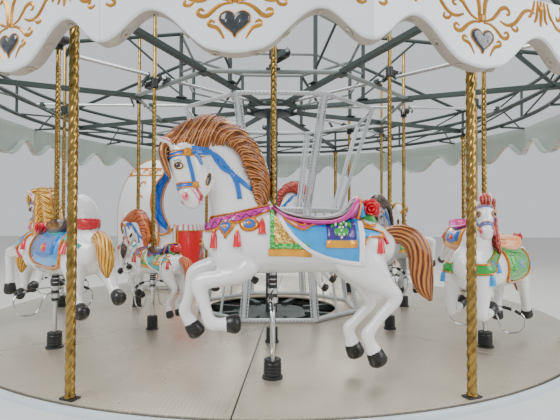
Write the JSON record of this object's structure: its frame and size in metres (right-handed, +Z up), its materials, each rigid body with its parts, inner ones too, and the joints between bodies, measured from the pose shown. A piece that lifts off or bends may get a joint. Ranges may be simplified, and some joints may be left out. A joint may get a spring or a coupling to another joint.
{
  "type": "fairground carousel",
  "caption": "Turning fairground carousel with rising and falling horses on brass poles, a hooded chariot and a scalloped fascia.",
  "frame": {"origin": "on the ground under the centre of the turning deck", "axes": "+Z up; -Y towards the outer horse that leads the lift joints; the horses face clockwise seen from above"},
  "size_m": [5.9626, 5.9626, 3.24],
  "materials": {
    "dark_steel": "dark grey-green paint, worn",
    "mast_paint": "dark blue-grey paint",
    "skirt_paint": "gloss white with a blue tint",
    "tread_plate": "trodden tread plate, semi-bright",
    "column_brass": "polished, rope-twisted",
    "white_tube": "satin white",
    "bright_steel": "bare",
    "fascia_panel": "gloss white with gold relief",
    "chariot_white": "gloss white",
    "chariot_red": "gloss red",
    "horse_enamel": "gloss white enamel with painted trappings",
    "pole_brass": "polished, rope-twisted"
  },
  "bodies": {
    "base": {"base_frame": "dark_steel", "centre_mast": "mast_paint"},
    "turntable": {"deck_frame": "dark_steel", "skirt": "skirt_paint", "deck_quarter_1": "tread_plate", "deck_quarter_2": "tread_plate", "deck_quarter_3": "tread_plate", "deck_quarter_4": "tread_plate", "column_1": "column_brass", "column_2": "column_brass", "column_3": "column_brass", "column_4": "column_brass", "column_5": "column_brass", "column_6": "column_brass", "column_7": "column_brass", "column_8": "column_brass", "cage": "white_tube", "ring_truss": "dark_steel", "top_frame": "dark_steel", "roof_frame": "dark_steel", "crankshafts": "bright_steel", "fascia_pair_1": "fascia_panel", "fascia_pair_2": "fascia_panel", "fascia_pair_3": "fascia_panel", "fascia_pair_4": "fascia_panel", "fascia_pair_5": "fascia_panel", "fascia_pair_6": "fascia_panel", "fascia_pair_7": "fascia_panel", "fascia_pair_8": "fascia_panel", "chariot_shell": "chariot_white", "chariot_dash": "chariot_red"},
    "ride_outer_1": {"horse_outer_1": "horse_enamel", "pole_outer_1": "pole_brass"},
    "ride_outer_2": {"horse_outer_2": "horse_enamel", "pole_outer_2": "pole_brass"},
    "ride_outer_3": {"horse_outer_3": "horse_enamel", "pole_outer_3": "pole_brass"},
    "ride_outer_4": {"horse_outer_4": "horse_enamel", "pole_outer_4": "pole_brass"},
    "ride_outer_5": {"horse_outer_5": "horse_enamel", "pole_outer_5": "pole_brass"},
    "ride_outer_7": {"horse_outer_7": "horse_enamel", "pole_outer_7": "pole_brass"},
    "ride_outer_8": {"horse_outer_8": "horse_enamel", "pole_outer_8": "pole_brass"},
    "ride_inner_1": {"horse_inner_1": "horse_enamel", "pole_inner_1": "pole_brass"},
    "ride_inner_2": {"horse_inner_2": "horse_enamel", "pole_inner_2": "pole_brass"},
    "ride_inner_3": {"horse_inner_3": "horse_enamel", "pole_inner_3": "pole_brass"},
    "ride_inner_4": {"horse_inner_4": "horse_enamel", "pole_inner_4": "pole_brass"},
    "ride_inner_5": {"horse_inner_5": "horse_enamel", "pole_inner_5": "pole_brass"},
    "ride_inner_7": {"horse_inner_7": "horse_enamel", "pole_inner_7": "pole_brass"},
    "ride_inner_8": {"horse_inner_8": "horse_enamel", "pole_inner_8": "pole_brass"}
  },
  "joints": [
    {"name": "turntable_spin", "type": "hinge", "parent": "base", "child": "turntable", "pos_m": [0, 0, 0.3], "axis": [0, 0, 1], "continuous": true},
    {"name": "lift_outer_1", "type": "slide", "parent": "turntable", "child": "ride_outer_1", "axis": [0, 0, 1], "range_m": [-0.06, 0.18]},
    {"name": "lift_outer_2", "type": "slide", "parent": "turntable", "child": "ride_outer_2", "axis": [0, 0, 1], "range_m": [-0.06, 0.18]},
    {"name": "lift_outer_3", "type": "slide", "parent": "turntable", "child": "ride_outer_3", "axis": [0, 0, 1], "range_m": [-0.18, 0.06]},
    {"name": "lift_outer_4", "type": "slide", "parent": "turntable", "child": "ride_outer_4", "axis": [0, 0, 1], "range_m": [-0.18, 0.06]},
    {"name": "lift_outer_5", "type": "slide", "parent": "turntable", "child": "ride_outer_5", "axis": [0, 0, 1], "range_m": [-0.06, 0.18]},
    {"name": "lift_outer_7", "type": "slide", "parent": "turntable", "child": "ride_outer_7", "axis": [0, 0, 1], "range_m": [-0.06, 0.18]},
    {"name": "lift_outer_8", "type": "slide", "parent": "turntable", "child": "ride_outer_8", "axis": [0, 0, 1], "range_m": [-0.18, 0.06]},
    {"name": "lift_inner_1", "type": "slide", "parent": "turntable", "child": "ride_inner_1", "axis": [0, 0, 1], "range_m": [-0.18, 0.06]},
    {"name": "lift_inner_2", "type": "slide", "parent": "turntable", "child": "ride_inner_2", "axis": [0, 0, 1], "range_m": [-0.18, 0.06]},
    {"name": "lift_inner_3", "type": "slide", "parent": "turntable", "child": "ride_inner_3", "axis": [0, 0, 1], "range_m": [-0.06, 0.18]},
    {"name": "lift_inner_4", "type": "slide", "parent": "turntable", "child": "ride_inner_4", "axis": [0, 0, 1], "range_m": [-0.06, 0.18]},
    {"name": "lift_inner_5", "type": "slide", "parent": "turntable", "child": "ride_inner_5", "axis": [0, 0, 1], "range_m": [-0.18, 0.06]},
    {"name": "lift_inner_7", "type": "slide", "parent": "turntable", "child": "ride_inner_7", "axis": [0, 0, 1], "range_m": [-0.18, 0.06]},
    {"name": "lift_inner_8", "type": "slide", "parent": "turntable", "child": "ride_inner_8", "axis": [0, 0, 1], "range_m": [-0.06, 0.18]}
  ],
  "couplings": [
    {"joint": "lift_outer_2", "follows": "lift_outer_1", "ratio": 1},
    {"joint": "lift_outer_3", "follows": "lift_outer_1", "ratio": -1},
    {"joint": "lift_outer_4", "follows": "lift_outer_1", "ratio": -1},
    {"joint": "lift_outer_5", "follows": "lift_outer_1", "ratio": 1},
    {"joint": "lift_outer_7", "follows": "lift_outer_1", "ratio": 1},
    {"joint": "lift_outer_8", "follows": "lift_outer_1", "ratio": -1},
    {"joint": "lift_inner_1", "follows": "lift_outer_1", "ratio": -1},
    {"joint": "lift_inner_2", "follows": "lift_outer_1", "ratio": -1},
    {"joint": "lift_inner_3", "follows": "lift_outer_1", "ratio": 1},
    {"joint": "lift_inner_4", "follows": "lift_outer_1", "ratio": 1},
    {"joint": "lift_inner_5", "follows": "lift_outer_1", "ratio": -1},
    {"joint": "lift_inner_7", "follows": "lift_outer_1", "ratio": -1},
    {"joint": "lift_inner_8", "follows": "lift_outer_1", "ratio": 1}
  ]
}
